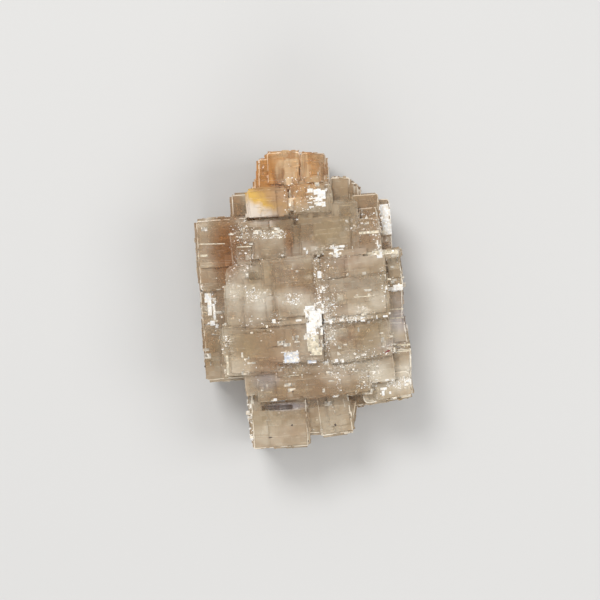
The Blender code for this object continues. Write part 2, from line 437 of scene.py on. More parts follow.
def run_tree(obj, tree, name, **values):
    """Runs a tree on an object and returns the result as a plain mesh object."""
    modifier = obj.modifiers.new("growth", "NODES")
    modifier.node_group = tree
    sockets = {s.name: s.identifier for s in tree.interface.items_tree if s.in_out == "INPUT"}
    for key, value in values.items():
        modifier[sockets[key]] = value
    bpy.context.view_layer.update()
    graph = bpy.context.evaluated_depsgraph_get()
    mesh = bpy.data.meshes.new_from_object(obj.evaluated_get(graph))
    obj.modifiers.remove(modifier)
    mesh.name = name
    return add_object(name, mesh)


# The salt is smoky tan with milkier boxes in it, stained by iron at the crown.
TAN = (0.555, 0.355, 0.21, 1)
OLIVE_TAN = (0.55, 0.41, 0.235, 1)
AMBER = (0.64, 0.38, 0.15, 1)
PALE_TAN = (0.82, 0.70, 0.52, 1)
MILK = (0.90, 0.85, 0.74, 1)
SMOKE = (0.44, 0.35, 0.22, 1)
LAVENDER = (0.60, 0.55, 0.56, 1)
RUST = (0.46, 0.19, 0.045, 1)
ORANGE = (0.84, 0.42, 0.125, 1)
GOLD = (0.90, 0.56, 0.13, 1)
PEACH = (0.98, 0.70, 0.40, 1)
PINK_WHITE = (1.0, 0.87, 0.73, 1)
# Painted highlight: the worn bevels are whitened as though they caught the light.
WORN_EDGE_HIGHLIGHT = (0.97, 0.91, 0.79, 1)

# Regions of the salt: middle and reach in mm, how strong the look is there, and how soft its edge is.
Zone = namedtuple("Zone", "x y z wide tall deep share edge", defaults=(0.35,))
MILKY_ZONES = rows(
    Zone,
    (-13.0, 2.0, 25, 5.2, 6.6, 7, 0.45), (20.2, -20.6, 19, 5.4, 3.6, 8, 0.62),
    (18.7, -9.3, 20, 2.6, 3.2, 6, 0.6), (16.7, -2.1, 26, 2.4, 2.0, 3, 0.5),
    (-5.8, -31.0, 19, 7.5, 3.6, 9, 0.25), (6.5, -28.0, 18, 6.0, 4.2, 8, 0.05),
    (-15.0, -14.8, 23, 3.6, 2.8, 6, 0.4),
    (-11.0, 0.6, 25, 4.0, 3.0, 4, 0.6), (-2.4, 0.6, 26, 4.6, 2.2, 3, 0.55),
    (2.6, -6.0, 26, 4.2, 7.4, 3, 0.5), (-7.9, 14.8, 25, 5.2, 1.8, 4, 0.3),
    (10.4, -4.2, 26, 4.6, 1.9, 3, 0.5), (-2.9, -11.4, 26, 3.8, 3.6, 3, 0.25),
    (8.0, -16.6, 24, 5.6, 3.2, 4, 0.4), (15.2, -18.6, 22, 4.4, 3.4, 5, 0.5),
    (3.8, -28.6, 20, 2.8, 2.8, 4, 0.2), (13.0, 8.6, 26, 5.6, 2.4, 4, 0.4),
    (17.4, -12.0, 23, 4.6, 4.0, 5, 0.35), (0.6, 10.6, 25, 4.0, 3.0, 3, 0.3),
    (-22.6, 15.0, 18, 2.0, 4.6, 6, 0.15),
)
BROWN_AND_SHADE_ZONES = rows(
    Zone,
    (3.0, 16.2, 24, 6.8, 3.8, 5, 0.7), (-9.6, -10.6, 25, 7.6, 5.6, 5, 1.0),
    (0.7, -19.4, 24, 8.4, 4.2, 6, 0.7), (-20.6, 12.0, 17, 4.0, 7.0, 9, 0.45),
    (-15.2, 21.6, 16, 2.6, 3.8, 6, 0.7), (11.0, 20.0, 20, 4.0, 7.0, 6, 0.3),
    # The zone at (-8.4, 17.6) is painted shade: the recessed band under the gold step is darkened.
    (-4.6, 5.6, 25, 6.0, 5.6, 5, 0.6), (-8.4, 17.6, 24, 6.0, 2.0, 5, 0.7),
    (-19.0, 13.0, 17, 3.6, 8.0, 9, 0.8),
)
GREY_ZONES = rows(
    Zone,
    (-9.7, -17.8, 22, 2.6, 1.8, 6, 0.8), (21.6, -7.2, 19, 3.0, 3.0, 7, 0.75),
    (-6.0, -23.8, 20, 4.2, 0.9, 5, 0.9), (18.6, -12.6, 22, 4.0, 1.4, 6, 0.4),
    (21.4, -2.6, 19, 2.4, 1.8, 6, 0.4),
)
CALM_ZONES = rows(
    Zone,
    (-15.2, 21.6, 18, 3.2, 4.4, 8, 1.0),
    (-19.8, 12.6, 18, 5.0, 10.0, 9, 1.0),
    (3.0, 16.2, 24, 7.0, 3.8, 5, 0.9), (13.0, 4.7, 26, 5.6, 4.8, 4, 0.9),
    (-10.2, -11.4, 25, 6.2, 4.6, 5, 0.8), (12.2, -8.4, 25, 4.8, 4.4, 4, 0.8),
    (-1.0, -19.4, 24, 6.4, 3.4, 6, 0.7), (-5.8, -29.3, 20, 6.6, 4.4, 6, 0.8),
)
SMUDGE = Zone(-11.4, 5.9, 25, 1.3, 1.3, 4, 0.75, 0.45)
CROWN = Zone(-2.0, 29, 17, 9.5, 8.4, 21, 1.0, 0.2)
CROWN_LEFT = Zone(-8.0, 29.5, 20, 4.4, 6.4, 14, 1.0, 0.45)
CROWN_PANEL = Zone(-2.8, 29.2, 24, 2.1, 3.4, 3, 1.0, 0.12)
TOP_RIM = Zone(-3, 33.6, 18, 8.5, 1.6, 18, 1.0, 0.6)
RIGHT_RIM = Zone(4.6, 27.5, 20, 1.2, 5, 12, 1.0, 0.6)
COLUMN_RUST = Zone(-15.3, 21.4, 18, 2.4, 3.8, 8, 0.4, 0.3)
SIDE_RUST = Zone(-17.2, 12.0, 19, 3.2, 7.4, 7, 0.9, 0.45)
SEAM_RUST = Zone(-2.6, 13.5, 24, 0.9, 3.0, 6, 0.6, 0.5)
GOLD_STEP = Zone(-8.2, 22.1, 26, 6.4, 5.0, 3.5, 1.0, 0.15)
BAND_MIDDLE = (-9.0, 23.2, 26)  # of the gold band, in mm
BAND_UP = (423, 906, 0)  # the way across the band, long enough to turn metres into mm

TURN_SPREAD = 2.6  # extra turn of the cubes to the right, in radians a metre across
COLUMN_SHIFT = 37.0  # cells by which one row's columns may be out of line with the next
LAYER_SHIFT = 23.0
BIG_BOX = (7.0, 5.5, 4.0)  # usual sides of the boxes that the salt is made of, in mm
SMALL_BOX = (1.7, 1.3, 1.1)
FINE_BOX = (0.5, 0.36, 0.4)
BIG_LEAN = 0.035  # how steeply boxes lean, as height over length
SMALL_LEAN = 0.07
FINE_LEAN = 0.7
SPECK_RELIEF = 0.003 * MM
EDGE_HIGHLIGHT_FULL_BELOW = 22.8 * MM  # the painted highlight on the worn edges is full up to here and faint from the next height up
EDGE_HIGHLIGHT_FAINT_ABOVE = 24.2 * MM
SALT_IOR = 1.544
SALT_TINT = (0.92, 0.66, 0.28, 1)
SALT_TINT_DENSITY = 28.0  # absorption, a metre
Pattern = namedtuple(
    "Pattern", "place big big_wall big_slope small small_wall small_slope fine_slope haze mist specks"
)


def dot(tree, one, other):
    return put(tree, "ShaderNodeVectorMath", {"operation": "DOT_PRODUCT"}, _0=one, _1=other).outputs["Value"]


def channels(tree, colour):
    return put(tree, "ShaderNodeSeparateColor", Color=colour).outputs


def greatest(tree, *values):
    return reduce(lambda one, other: calc(tree, "MAXIMUM", one, other), values)


def rest_of(tree, share):
    return calc(tree, "SUBTRACT", 1.0, share)


def fade(tree, value, start, end, low=0.0, high=1.0):
    return put(tree, "ShaderNodeMapRange", _0=value, _1=start, _2=end, _3=low, _4=high).outputs[0]


def blend(tree, share, first, second):
    return put(tree, "ShaderNodeMix", {"data_type": "RGBA"}, _0=share, _6=first, _7=second).outputs[2]


def clouds(tree, place, scale, detail=3.0):
    return put(tree, "ShaderNodeTexNoise", Vector=place, Scale=scale, Detail=detail).outputs[0]


def bump(tree, height, distance=1.0):
    return put(tree, "ShaderNodeBump", Height=height, Distance=distance).outputs[0]


def about_z(tree, vector, turn):
    upright = {"rotation_type": "Z_AXIS"}
    return put(tree, "ShaderNodeVectorRotate", upright, Vector=vector, Angle=turn).outputs[0]


def cube_place(tree):
    """The place in the salt, turned so that its axes are the cubes' own."""
    place = put(tree, "ShaderNodeTexCoord").outputs["Object"]
    return about_z(tree, place, calc(tree, "MULTIPLY_ADD", axes_of(tree, place)[0], -TURN_SPREAD, -CUBE_TURN))


def one_axis(tree, value, cells, offset):
    """Uneven cells along one axis: a random value for each, how far its middle is, and how near its wall."""
    along = calc(tree, "MULTIPLY_ADD", value, cells, offset)
    cell = put(tree, "ShaderNodeTexVoronoi", {"voronoi_dimensions": "1D"}, W=along, Scale=1.0)
    to_edge = {"voronoi_dimensions": "1D", "feature": "DISTANCE_TO_EDGE"}
    wall = put(tree, "ShaderNodeTexVoronoi", to_edge, W=along, Scale=1.0)
    chance = channels(tree, cell.outputs["Color"])[0]
    off_middle = calc(tree, "DIVIDE", calc(tree, "SUBTRACT", along, cell.outputs["W"]), cells)
    return chance, off_middle, calc(tree, "DIVIDE", wall.outputs["Distance"], cells)


def cube_boxes(tree, place, side, seed):
    """Boxes along the cube axes: three random values for each, the distance to the wall between rows, and
    a height that leans each box its own way."""
    x, y, z = axes_of(tree, place)
    row, off_y, wall_y = one_axis(tree, y, 1 / (side[1] * MM), seed)
    shift = calc(tree, "MULTIPLY_ADD", row, COLUMN_SHIFT, seed)
    column, off_x, _ = one_axis(tree, x, 1 / (side[0] * MM), shift)
    deep = calc(tree, "MULTIPLY_ADD", column, LAYER_SHIFT, shift)
    layer, off_z, _ = one_axis(tree, z, 1 / (side[2] * MM), deep)
    key = vector_of(tree, row, column, layer)
    chances = put(tree, "ShaderNodeTexWhiteNoise", {"noise_dimensions": "3D"}, Vector=key).outputs["Color"]
    lean = vector_calc(tree, "SUBTRACT", chances, (0.5, 0.5, 0.5))
    return channels(tree, chances), wall_y, dot(tree, lean, vector_of(tree, off_x, off_y, off_z))


def zone(tree, place, region):
    """The region's share inside it, and nothing well outside it."""
    off = vector_calc(tree, "SUBTRACT", place, metres(region[:3]))
    off = vector_calc(tree, "DIVIDE", off, metres(region[3:6]))
    far = put(tree, "ShaderNodeVectorMath", {"operation": "LENGTH"}, _0=off).outputs["Value"]
    return times(tree, fade(tree, far, 1 + region.edge, 1 - region.edge), region.share)


def zones(tree, place, regions):
    """The strongest of several regions at each place."""
    return greatest(tree, *(zone(tree, place, region) for region in regions))


def salt_pattern(tree):
    """The boxes and noises that every layer of the salt's look is worked out from."""
    place = cube_place(tree)
    _, _, fine_slope = cube_boxes(tree, place, FINE_BOX, 5.3)
    return Pattern(
        place, *cube_boxes(tree, place, BIG_BOX, 3.1), *cube_boxes(tree, place, SMALL_BOX, 8.7), fine_slope,
        haze=clouds(tree, place, 95, 1.0), mist=clouds(tree, place, 160), specks=clouds(tree, place, 700),
    )


def salt_body(tree, pattern):
    """Tan boxes and pale ones with a mist through both, milky banks and grey patches; and how milky it is."""
    place, mist = pattern.place, pattern.mist
    tone = calc(tree, "MULTIPLY_ADD", pattern.big[0], 0.24, times(tree, pattern.small[0], 0.3))
    tone = calc(tree, "ADD", tone, fade(tree, pattern.haze, 0.32, 0.68, -0.22, 0.42))
    tone = calc(tree, "ADD", tone, fade(tree, mist, 0.35, 0.65, -0.2, 0.26))
    tone = calc(tree, "ADD", tone, fade(tree, pattern.specks, 0.35, 0.7, -0.08, 0.14))
    # Darker in the brown zones, one of which is painted shade under the gold step.
    tone = times(tree, tone, rest_of(tree, zones(tree, place, BROWN_AND_SHADE_ZONES)))
    hue = fade(tree, clouds(tree, vector_calc(tree, "ADD", place, (0.4, 0.1, 0.7)), 70, 1.0), 0.36, 0.64)
    hue = calc(tree, "MULTIPLY_ADD", pattern.big[2], 0.3, times(tree, hue, 0.7))
    colour = blend(tree, tone, blend(tree, hue, TAN, OLIVE_TAN), PALE_TAN)
    boxes = times(tree, fade(tree, pattern.small[1], 0.9, 0.94), fade(tree, mist, 0.5, 0.65, 0.0, 0.5))
    banks = times(tree, zones(tree, place, MILKY_ZONES), fade(tree, mist, 0.25, 0.7, 0.4, 1.0))
    smudge = zone(tree, place, SMUDGE)
    milky = times(tree, greatest(tree, boxes, banks), rest_of(tree, smudge))
    colour = blend(tree, smudge, blend(tree, milky, colour, MILK), SMOKE)
    grey = times(tree, zones(tree, place, GREY_ZONES), fade(tree, mist, 0.3, 0.6, 0.5, 1.0))
    return blend(tree, grey, colour, LAVENDER), milky


def iron_stain(tree, pattern, colour):
    """Orange and peach over the crown, and rust in streaks along its rims and down the left block."""
    place, mist = pattern.place, pattern.mist
    crown = zone(tree, place, CROWN)
    peach = fade(tree, calc(tree, "MULTIPLY_ADD", pattern.small[2], 0.6, pattern.big[2]), -0.1, 0.9)
    peach = times(tree, peach, rest_of(tree, zone(tree, place, CROWN_LEFT)))
    peach = greatest(tree, peach, zone(tree, place, CROWN_PANEL))
    colour = blend(tree, crown, colour, blend(tree, peach, ORANGE, PEACH))
    upright = clouds(tree, vector_calc(tree, "MULTIPLY", place, (3.2, 0.5, 0.5)), 260, 2.0)
    streaks = times(tree, fade(tree, upright, 0.46, 0.6), fade(tree, mist, 0.35, 0.6, 0.3, 1))
    rims = zones(tree, place, (TOP_RIM, RIGHT_RIM))
    streaks = times(tree, greatest(tree, rims, times(tree, crown, 0.6)), streaks)
    rust = zones(tree, place, (COLUMN_RUST, SIDE_RUST, SEAM_RUST))
    return blend(tree, greatest(tree, streaks, rust), colour, RUST)


def gold_step(tree, pattern, colour):
    """The block on the crown's step: gold in a slanting band, amber over it and pink-white under it."""
    step = zone(tree, pattern.place, GOLD_STEP)
    off = vector_calc(tree, "SUBTRACT", pattern.place, metres(BAND_MIDDLE))
    ragged = fade(tree, clouds(tree, pattern.place, 330), 0.3, 0.7, -1.1, 1.1)
    height = calc(tree, "ADD", dot(tree, off, BAND_UP), ragged)
    banded = blend(tree, fade(tree, height, -2.2, -0.1), PINK_WHITE, GOLD)
    banded = blend(tree, fade(tree, height, 0.2, 1.8), banded, AMBER)
    right_end = fade(tree, axes_of(tree, off)[0], 1.6 * MM, 4.6 * MM, 0.0, 0.75)
    return blend(tree, step, colour, blend(tree, right_end, banded, TAN)), step


def bright_lines(tree, pattern):
    """Thin cleavage lines along the rows of boxes, broken by the mist."""
    thin = fade(tree, pattern.small_wall, 0.06 * MM, 0.02 * MM)
    broad = fade(tree, pattern.big_wall, 0.09 * MM, 0.03 * MM)
    thin = times(tree, thin, fade(tree, pattern.specks, 0.5, 0.6))
    broad = times(tree, broad, fade(tree, pattern.mist, 0.45, 0.55))
    return times(tree, greatest(tree, thin, broad), 0.25)


def worn_edge_highlight(tree, place):
    """Painted edge highlight: strong where the surface faces none of the cubes' six sides, on the bevels of
    worn edges, and faint higher up.
    """
    normal = about_z(tree, put(tree, "ShaderNodeNewGeometry").outputs["True Normal"], -CUBE_TURN)
    slanting = fade(tree, greatest(tree, *axes_of(tree, vector_calc(tree, "ABSOLUTE", normal))), 0.96, 0.9)
    low = fade(tree, axes_of(tree, place)[2], EDGE_HIGHLIGHT_FULL_BELOW, EDGE_HIGHLIGHT_FAINT_ABOVE, 1.0, 0.2)
    return times(tree, slanting, low)


def salt_relief(tree, pattern):
    """Heights: each box leans its own way, less in the calm panels and most where the salt sparkles."""
    calm = rest_of(tree, zones(tree, pattern.place, CALM_ZONES))
    sparkling = times(tree, fade(tree, pattern.mist, 0.5, 0.62), fade(tree, pattern.big[2], 0.45, 0.6), calm)
    height = times(tree, pattern.specks, SPECK_RELIEF)
    for slope, share in (
        (pattern.big_slope, BIG_LEAN), (times(tree, pattern.small_slope, calm), SMALL_LEAN),
        (times(tree, pattern.fine_slope, sparkling), FINE_LEAN),
    ):
        height = calc(tree, "ADD", height, times(tree, slope, share))
    return height


def new_material(name):
    """A new material, with its tree and its shader."""
    material = bpy.data.materials.new(name)
    material.use_nodes = True
    return material, material.node_tree, material.node_tree.nodes["Principled BSDF"]


def salt_material():
    material, tree, shader = new_material("smoky_salt")
    pattern = salt_pattern(tree)
    colour, milky = salt_body(tree, pattern)
    colour, step = gold_step(tree, pattern, iron_stain(tree, pattern, colour))
    line = bright_lines(tree, pattern)
    edge_highlight = worn_edge_highlight(tree, pattern.place)
    colour = blend(tree, line, colour, MILK)
    # Painted highlight: the worn bevels, most of all low down at the outline, are blended towards a light
    # cream.
    colour = blend(tree, times(tree, edge_highlight, fade(tree, pattern.mist, 0.35, 0.65, 0.25, 0.8)), colour, WORN_EDGE_HIGHLIGHT)
    bright = greatest(tree, line, edge_highlight)
    clear = 0.7
    for cloudy, share in ((milky, 0.4), (pattern.big[1], 0.12), (bright, 0.5), (step, 0.15)):
        clear = calc(tree, "SUBTRACT", clear, times(tree, cloudy, share))
    rough = calc(tree, "MULTIPLY_ADD", pattern.small[2], 0.12, fade(tree, pattern.mist, 0.3, 0.7, 0.02, 0.16))
    set_inputs(
        tree, shader, Base_Color=colour, Transmission_Weight=greatest(tree, clear, 0.1), Roughness=rough,
        Normal=bump(tree, salt_relief(tree, pattern)), IOR=SALT_IOR,
    )
    inside = put(tree, "ShaderNodeVolumeAbsorption", Color=SALT_TINT, Density=SALT_TINT_DENSITY)
    tree.links.new(inside.outputs[0], tree.nodes["Material Output"].inputs["Volume"])
    return material


def grow_crystal():
    """The node's own shape with its growth on it, all one closed mesh."""
    bm = merged_copy(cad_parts["halite_crystal"])
    mark_grain(bm)
    bare = shape_object(bm, "bare_crystal")
    block = growth_block()
    seams = seam_boxes()
    grown = run_tree(bare, growth_tree(), "crystal", Block=block, Seams=seams, Material=salt_material())
    for helper in (bare, block, seams):
        bpy.data.objects.remove(helper)
    return grown


crystal = grow_crystal()
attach(crystal, "root")
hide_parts("halite_crystal")

# ---------------------------------------------------------------------------
# Cleavage veils. Healed cracks along the cube planes, where the salt is milky: thin square plates
# inside the crystal, some face on and some seen as a line from any side.

VEIL_DENSITY = 2.2e5  # candidates a square metre
VEIL_LEAST = (0.5, 0.35, 0.03)  # sides in mm
VEIL_MOST = (6.5, 3.6, 0.06)
VEIL_SHALLOWEST = 0.25  # under the face, in mm
VEIL_DEEPEST = 5.0
VEIL_CLEARANCE = 0.12  # from any face, in mm
VEIL_LEAN = 0.02  # radians
RAY_REACH = 100 * MM  # longer than the specimen
FACE_ON_SHARE = 0.45  # of the veils; those up to the next share stand on end, and the rest on their side too
ON_END_SHARE = 0.78


def random_between(tree, low, high, seed):
    return put(tree, "FunctionNodeRandomValue", {"data_type": "FLOAT"}, _2=low, _3=high, Seed=seed).outputs[1]


def plates_inside(tree, crystal, density, seed, least, most, shallow, deep, clearance):
    """Thin plates on the three cube planes, kept where all four corners are inside the crystal."""
    points = put(tree, "GeometryNodeDistributePointsOnFaces", Mesh=crystal, Density=density, Seed=seed)
    share = calc(tree, "POWER", random_between(tree, 0.0, 1.0, seed=21), 2.0)
    down = calc(tree, "MULTIPLY_ADD", share, calc(tree, "SUBTRACT", shallow, deep), times(tree, shallow, -1.0))
    chance = random_between(tree, 0.0, 1.0, seed=22)
    on_end = times(tree, over(tree, chance, FACE_ON_SHARE), math.pi / 2)
    on_side = times(tree, over(tree, chance, ON_END_SHARE), math.pi / 2)
    rotation = rotation_of(tree, vector_of(tree, on_end, on_side, CUBE_TURN))
    size = skewed_size(tree, least, most, seed=23)
    turn = leaning(tree, rotation, VEIL_LEAN, seed=24)
    marked = with_size_and_turn(tree, points.outputs["Points"], size, turn)
    sink = scaled(tree, points.outputs["Normal"], down)
    placed = put(tree, "GeometryNodeSetPosition", Geometry=marked, Offset=sink).outputs[0]
    size, turn = stored_size_and_turn(tree)
    position = position_of(tree)
    held = []
    for side_x, side_y in CORNERS:
        corner = vector_calc(tree, "MULTIPLY", size, (side_x / 2, side_y / 2, 0))
        corner = vector_calc(tree, "ADD", position, rotated(tree, corner, turn))
        ray = ray_to(tree, crystal, corner, (0, 0, 1), RAY_REACH)
        faces_up = over(tree, axes_of(tree, ray.outputs["Hit Normal"])[2], 0.0)
        clear = over(tree, distance_to(tree, crystal, corner), clearance)
        held.append(times(tree, ray.outputs["Is Hit"], faces_up, clear))
    return shapes_at(tree, placed, unit_cube(tree), times(tree, *held))


def veil_tree():
    tree = new_tree("veils")
    crystal = input_of(tree, "Crystal", kind="Geometry")
    material = input_of(tree, "Material", kind="Material")
    plates = plates_inside(
        tree, crystal, input_of(tree, "Density", VEIL_DENSITY), input_of(tree, "Seed", 3, "Int"),
        size_input(tree, "Least", VEIL_LEAST), size_input(tree, "Most", VEIL_MOST),
        input_of(tree, "Shallowest", VEIL_SHALLOWEST * MM), input_of(tree, "Deepest", VEIL_DEEPEST * MM),
        input_of(tree, "Clearance", VEIL_CLEARANCE * MM),
    )
    return finish_tree(tree, union_of(tree, [plates]), material)


def veil_material():
    material, tree, shader = new_material("milky_veil")
    place = cube_place(tree)
    tone, _, slope = cube_boxes(tree, place, (0.9, 0.8, 1.2), 4.4)
    mist = clouds(tree, place, 300)
    pale = calc(tree, "MULTIPLY_ADD", tone[0], 0.5, fade(tree, mist, 0.3, 0.7, 0, 0.5))
    stained = zone(tree, place, CROWN._replace(share=0.8, edge=0.3))
    set_inputs(
        tree, shader, Base_Color=blend(tree, stained, blend(tree, pale, PALE_TAN, MILK), PEACH),
        Transmission_Weight=fade(tree, mist, 0.35, 0.65, 0.85, 0.35), IOR=SALT_IOR,
        Roughness=calc(tree, "MULTIPLY_ADD", tone[1], 0.3, 0.12), Normal=bump(tree, times(tree, slope, 0.3)),
    )
    return material


veils = run_tree(crystal, veil_tree(), "veils", Material=veil_material())
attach(veils, "root")

# ---------------------------------------------------------------------------
# Bright beds. Patches just under the front, each a heap of thin square flakes: loose sparkle and crumbs of
# frost whose near-white colour is painted glint and painted reflection of the light that small cleavage cracks
# throw back, and milky layers.

# Beds: middle and sides in mm, and how full of flakes they are.
Bed = namedtuple("Bed", "x y wide tall fill")

# Painted reflection: near-white crumbs where the faces throw back the light.
FROSTED_REFLECTION_BEDS = rows(
    Bed,
    (2.4, -4.4, 4.4, 6.8, 0.6), (2.4, -10.0, 3.8, 4.8, 0.5), (-2.9, -12.8, 3.8, 3.0, 0.4),
    (6.4, -13.6, 5.6, 0.8, 0.9), (3.4, 23.4, 4.6, 4.6, 0.4), (7.2, 11.2, 3.0, 2.8, 0.8),
    (16.4, 11.5, 2.1, 3.4, 0.7), (-21.2, -2.2, 2.2, 7.6, 0.3), (21.4, -18.6, 5.8, 2.2, 0.55),
    (18.6, -20.6, 3.0, 1.4, 0.3),
    (3.9, 5.9, 1.0, 1.0, 1.0), (3.9, 2.6, 1.4, 1.0, 1.0), (0.4, 11.4, 0.9, 0.7, 1.0),
    (7.1, -21.5, 1.6, 0.5, 1.0), (-7.0, -22.7, 0.8, 0.5, 1.0), (18.4, 18.5, 2.8, 6.4, 0.4),
    (20.3, 2.9, 4.6, 1.7, 0.5), (-12.3, -27.5, 0.8, 9.2, 0.5),
    # These two thin rows paint light over the shaded grooves between the slabs.
    (-2.4, -4.6, 9.4, 0.7, 0.3), (11.0, -4.2, 14.6, 0.8, 0.35),
)
# Painted glints: near-white flakes, which also lean so that some catch the glint lamp.
SPARKLE_GLINT_BEDS = rows(
    Bed,
    (22.2, -18.4, 4.6, 1.8, 0.8), (20.4, -19.6, 3.4, 1.2, 0.5),
    (-7.9, 14.8, 7.8, 1.6, 0.6), (-14.7, 14.8, 4.4, 4.8, 0.25), (-11.4, 1.0, 3.4, 3.0, 0.6),
    (-2.4, 0.3, 4.1, 2.5, 0.6), (5.1, -2.0, 3.9, 5.0, 0.5), (5.7, -7.9, 2.8, 4.6, 0.4),
    (10.4, -4.3, 3.9, 2.3, 0.4), (-17.7, -9.1, 2.3, 2.3, 0.5), (-0.8, 24.0, 8.0, 8.0, 0.14),
    (7.7, -18.5, 0.9, 4.1, 0.5), (13.4, -24.4, 3.5, 0.7, 0.6), (-12.3, -27.5, 1.0, 9.2, 0.5),
    (20.8, -11.0, 5.0, 2.4, 0.4), (15.0, 17.0, 5.6, 6.4, 0.18), (17.6, 5.6, 1.2, 12.0, 0.2),
    (5.0, 4.0, 6.0, 12.0, 0.1), (0, -15.4, 28, 4.0, 0.05), (12.0, -12.6, 12.0, 3.0, 0.08),
    (-2.9, -12.8, 3.6, 3.0, 0.5), (-10.0, -4.4, 12.0, 2.4, 0.08),
    (2.9, 3.4, 1.4, 13.0, 0.25), (4.9, 0.6, 1.4, 6.0, 0.5), (11.0, -4.4, 10.0, 1.2, 0.25),
    (4.9, -8.6, 1.2, 8.0, 0.5),
    (0.6, 29.4, 10.0, 7.0, 0.02), (14.2, -17.6, 4.4, 4.4, 0.3), (8.0, -15.4, 6.0, 4.0, 0.15),
)
MILKY = rows(
    Bed,
    (-14.6, 3.4, 4.0, 5.0, 0.3), (16.7, -2.1, 3.7, 3.0, 0.6), (18.7, -9.3, 3.4, 4.8, 0.5),
    (-9.8, 9.4, 4.4, 3.0, 0.2), (7.3, -24.3, 4.1, 2.8, 0.5), (3.8, -28.6, 4.1, 4.1, 0.4),
    (-14.6, -14.4, 5.8, 4.4, 0.5), (19.4, -21.0, 9.0, 3.4, 0.4), (9.8, 11.3, 2.3, 3.0, 0.7),
    (-18.0, -6.0, 5.6, 8.0, 0.12), (-22.1, 16.8, 1.6, 1.2, 0.9), (-19.0, 4.0, 2.6, 2.8, 0.5),
    (-11.3, 0.9, 5.0, 3.8, 0.7), (-2.6, 0.4, 5.4, 2.6, 0.7), (10.6, -4.3, 6.0, 2.2, 0.8),
    (-7.9, 14.8, 8.4, 2.2, 0.6), (5.4, -5.0, 4.0, 9.6, 0.5), (-3.2, -10.2, 4.6, 4.4, 0.6),
    (9.0, -16.2, 8.0, 4.4, 0.35), (14.0, -18.6, 5.4, 4.4, 0.6), (0.0, 6.0, 12.0, 9.0, 0.1),
    (13.6, 5.0, 11.0, 8.0, 0.1), (-12.0, -8.0, 10.0, 4.0, 0.05), (13.0, -9.0, 12.0, 8.0, 0.1),
    (-1.0, -18.6, 20.0, 5.0, 0.1), (15.0, 17.2, 5.6, 7.0, 0.4), (-14.6, 13.8, 4.6, 5.6, 0.3),
    (20.6, 6.8, 4.2, 7.4, 0.3), (2.6, 25.6, 6.4, 6.0, 0.25), (-21.0, -11.0, 4.4, 9.0, 0.2),
)
BED_HEIGHT = 50 * MM  # the beds are laid out this high, clear of the crystal, and dropped on it
FLAT_ENOUGH = 0.8  # least upward part of the normal of a face that takes flakes


def bed_shapes(name, beds):
    """A flat square for each bed, above the crystal, with the bed's fill stored on it."""
    bm = bmesh.new()
    fill = bm.faces.layers.float.new("fill")
    for bed in beds:
        corners = []
        for side_x, side_y in ((-1, -1), (1, -1), (1, 1), (-1, 1)):
            off = Vector((side_x * bed.wide / 2, side_y * bed.tall / 2, 0))
            off.rotate(Euler((0, 0, CUBE_TURN)))
            corners.append(bm.verts.new((Vector((bed.x, bed.y, 0)) + off) * MM + Vector((0, 0, BED_HEIGHT))))
        bm.faces.new(corners)[fill] = bed.fill
    return shape_object(bm, name)


def bed_tree(name):
    tree = new_tree(name)
    beds = input_of(tree, "Beds", kind="Geometry")
    under = object_input(tree, "Crystal")
    material = input_of(tree, "Material", kind="Material")
    fill = times(tree, stored_field(tree, "FLOAT", "fill"), input_of(tree, "Density"))
    size = skewed_size(tree, size_input(tree, "Least"), size_input(tree, "Most"), seed=33)
    lowest = times(tree, input_of(tree, "Depth"), -1.0)
    lift = random_between(tree, lowest, input_of(tree, "Height"), seed=31)
    any_way = random_vector(tree, (-1, -1, -0.4), (1, 1, 0.4), seed=34)
    lean = scaled(tree, any_way, input_of(tree, "Lean"))
    seed = input_of(tree, "Seed", 3, "Int")
    points = put(tree, "GeometryNodeDistributePointsOnFaces", Mesh=beds, Density=fill, Seed=seed)
    points = points.outputs["Points"]
    ray = ray_to(tree, under, position_of(tree), (0, 0, -1), RAY_REACH)
    turn = turned_by(tree, rotation_of(tree, (0, 0, CUBE_TURN)), lean)
    marked = with_size_and_turn(tree, points, size, turn)
    level = axes_of(tree, ray.outputs["Hit Normal"])[2]
    good = times(tree, ray.outputs["Is Hit"], over(tree, level, FLAT_ENOUGH))
    marked = store_field(tree, marked, "FLOAT", "good", good)
    spot = vector_calc(tree, "ADD", ray.outputs["Hit Position"], vector_of(tree, z=lift))
    placed = put(tree, "GeometryNodeSetPosition", Geometry=marked, Position=spot).outputs[0]
    plates = shapes_at(tree, placed, unit_cube(tree), stored_field(tree, "FLOAT", "good"))
    return finish_tree(tree, union_of(tree, [plates]), material)


def bright_material(name, colour, clear, rough, dullest=0.8):
    """Frosted salt, in small boxes of which some are duller, clearer or rougher than the next; its pale colour
    is painted reflection, highlight or glint on the bright beds and facets, and real milkiness on the milky
    beds.
    """
    material, tree, shader = new_material(name)
    tone, _, slope = cube_boxes(tree, cube_place(tree), (0.45, 0.4, 0.5), 6.1)
    dull = fade(tree, tone[0], 0.3, 1.0, 0.0, dullest)
    set_inputs(
        tree, shader, Base_Color=blend(tree, dull, colour, PALE_TAN), IOR=SALT_IOR,
        Roughness=calc(tree, "MULTIPLY_ADD", tone[1], 0.3, rough),
        Transmission_Weight=times(tree, tone[2], 2 * clear), Normal=bump(tree, times(tree, slope, 0.4)),
    )
    return material


def grow_beds(name, beds, material, least, most, density, depth, height, lean):
    """Flakes between two sizes in mm, so many a square metre in a full bed, from a depth to a height in mm."""
    flat = bed_shapes(name + "_beds", beds)
    made = run_tree(
        flat, bed_tree(name), name, Crystal=crystal, Material=material, Least=metres(least), Most=metres(most),
        Density=density, Depth=depth * MM, Height=height * MM, Lean=lean,
    )
    bpy.data.objects.remove(flat)
    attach(made, "root")


